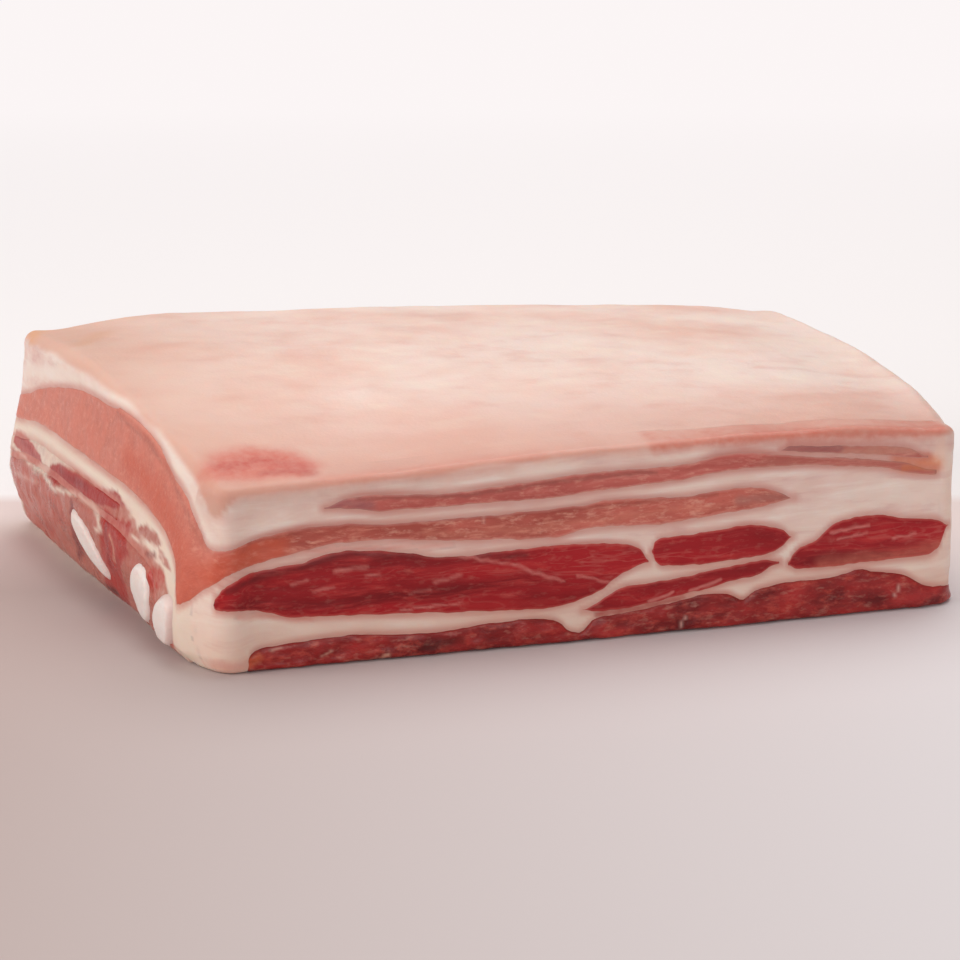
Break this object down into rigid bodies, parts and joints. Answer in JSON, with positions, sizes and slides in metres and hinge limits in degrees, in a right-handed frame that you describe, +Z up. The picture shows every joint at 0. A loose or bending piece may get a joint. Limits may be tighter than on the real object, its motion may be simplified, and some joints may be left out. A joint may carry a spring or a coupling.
{
  "type": "pork belly slab",
  "caption": "Raw pork belly slab, skin side up, with layered fat and lean showing on its cut sides and rib ends at one end.",
  "frame": {"origin": "on the floor plane, under the centre of the slab's bounding box", "axes": "+X along the long front cut towards the right end, +Y from the front cut to the back, +Z up through the skin"},
  "size_m": [0.2798, 0.1662, 0.0704],
  "materials": {
    "fat": "pale pink-cream fat with a faintly moist sheen; the skin on top is smooth and slightly greasy",
    "streak_lower": "dull rose lean, fine grain, semi-gloss",
    "streak_upper": "dull rose lean, fine grain, semi-gloss",
    "belt": "orange-pink lean with small flecks of fat, semi-gloss",
    "deep_1": "deep crimson lean with pale streaks of fat along its grain, moist",
    "deep_2": "deep crimson lean, moist",
    "deep_3": "deep crimson lean, moist",
    "deep_4": "deep crimson lean with a pale streak, moist",
    "base": "dark red lean with a bumpy, wet surface",
    "rib_1": "white rib cartilage, smooth and damp",
    "rib_2": "white rib cartilage, smooth and damp",
    "rib_3": "white rib cartilage, smooth and damp"
  },
  "bodies": {
    "root": {"fat": "fat", "streak_lower": "streak_lower", "streak_upper": "streak_upper", "belt": "belt", "deep_1": "deep_1", "deep_2": "deep_2", "deep_3": "deep_3", "deep_4": "deep_4", "base": "base", "rib_1": "rib_1", "rib_2": "rib_2", "rib_3": "rib_3"}
  },
  "joints": []
}
